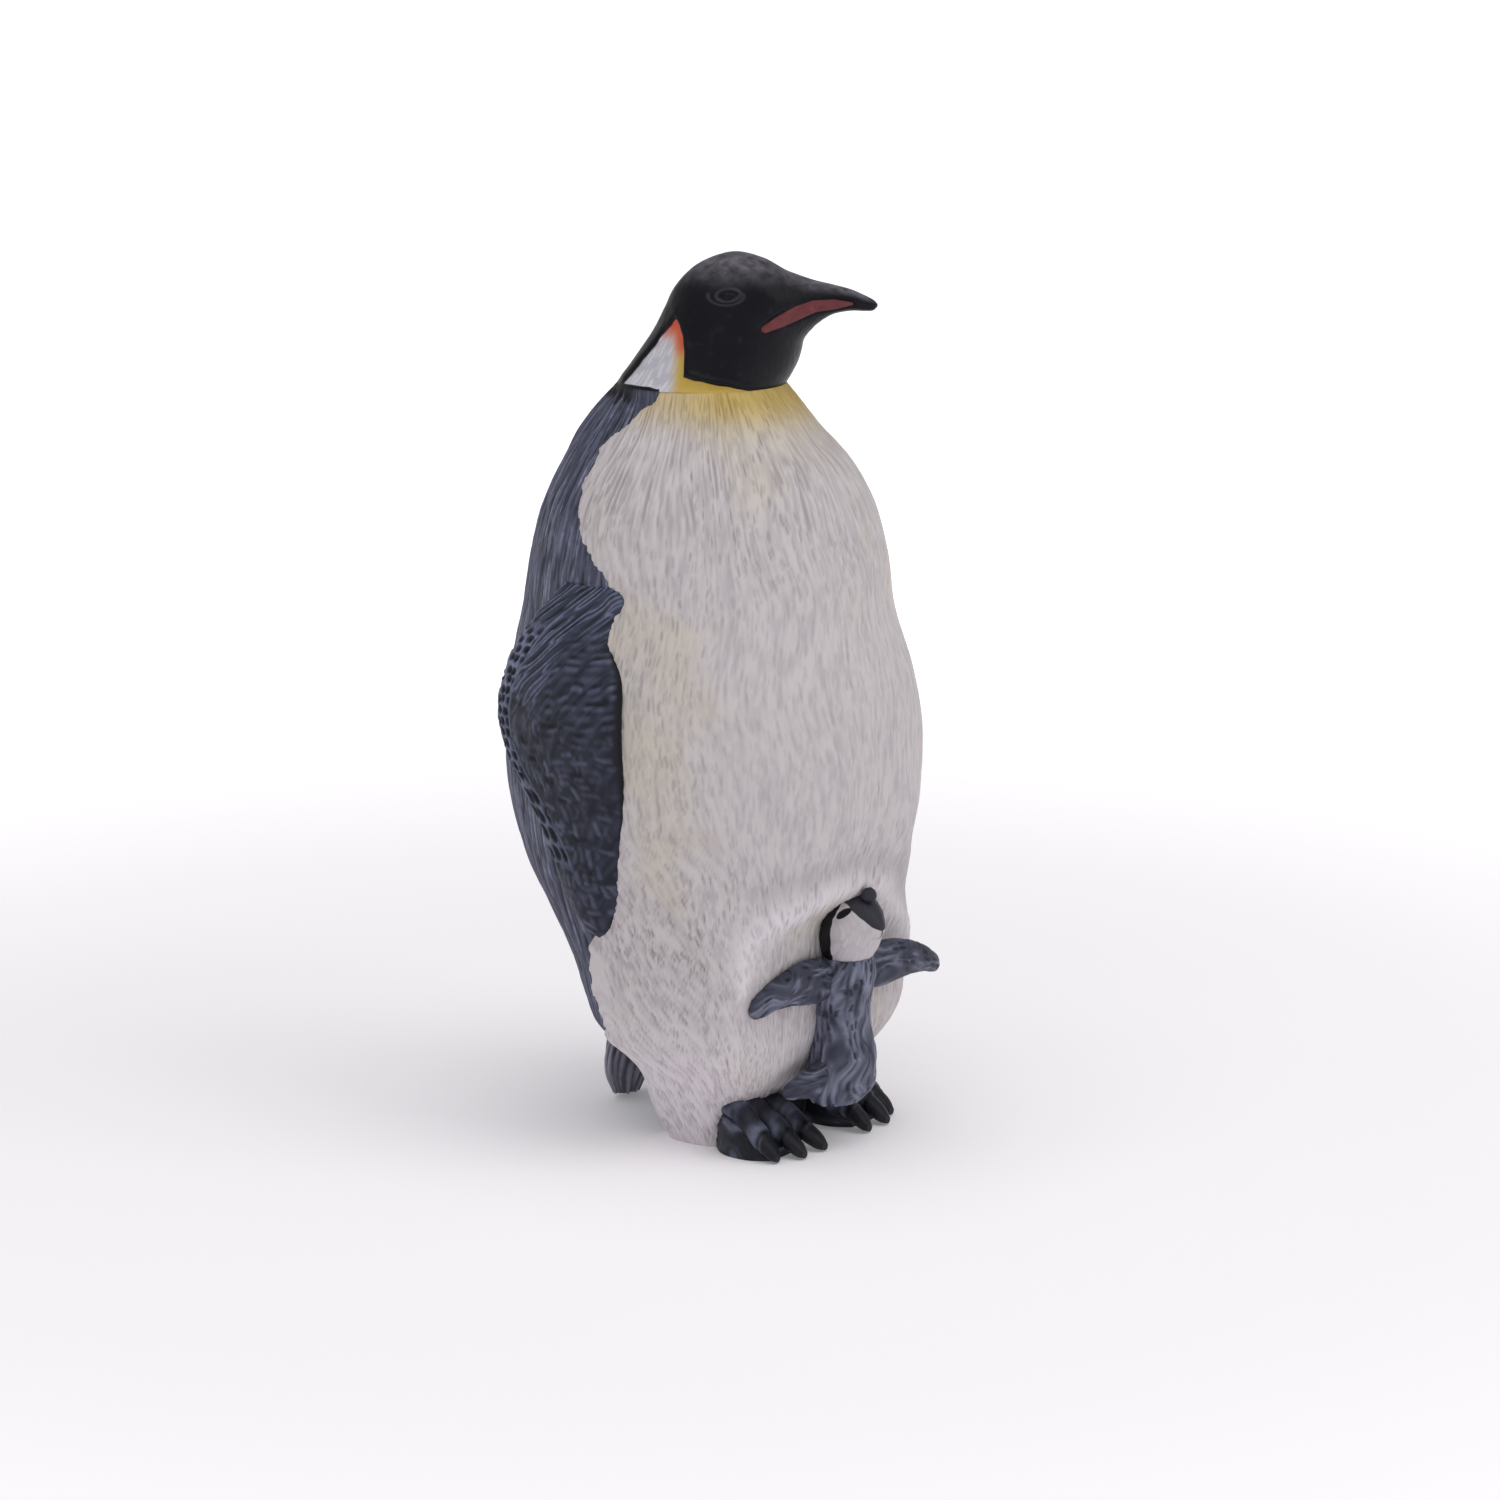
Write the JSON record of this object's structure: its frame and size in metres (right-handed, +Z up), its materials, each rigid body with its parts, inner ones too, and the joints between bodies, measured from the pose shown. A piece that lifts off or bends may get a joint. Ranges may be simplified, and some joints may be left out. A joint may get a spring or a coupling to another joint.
{
  "type": "penguin figurine",
  "caption": "Standing emperor penguin figurine with its head turned and a small chick on its feet: a hollow painted casting in two shells with glued-in head, flippers, tail and feet.",
  "frame": {"origin": "on the standing surface, under the axis of the adult's body", "axes": "+Z up, the adult faces -Y and its left side is +X"},
  "size_m": [0.0438, 0.0441, 0.0898],
  "materials": {
    "white_paint": "cast PVC, sprayed grey-white with feather grooves washed darker",
    "back_paint": "cast PVC, blue-black with grey-blue dry brushing on the feather ridges",
    "hood_paint": "cast PVC, satin black with a dark red bill plate and orange to yellow ear patches",
    "foot_paint": "cast PVC, black with blue-grey highlights",
    "chick_grey_paint": "cast PVC, slate grey with dark grooves",
    "chick_face_paint": "cast PVC, white face with a black cap"
  },
  "bodies": {
    "root": {"belly_shell": "white_paint", "back_shell": "back_paint", "head": "hood_paint", "right_flipper": "back_paint", "left_flipper": "back_paint", "tail": "back_paint", "right_foot": "foot_paint", "left_foot": "foot_paint", "chick_body": "chick_grey_paint", "chick_head": "chick_face_paint", "chick_right_flipper": "chick_grey_paint", "chick_left_flipper": "chick_grey_paint"}
  },
  "joints": []
}
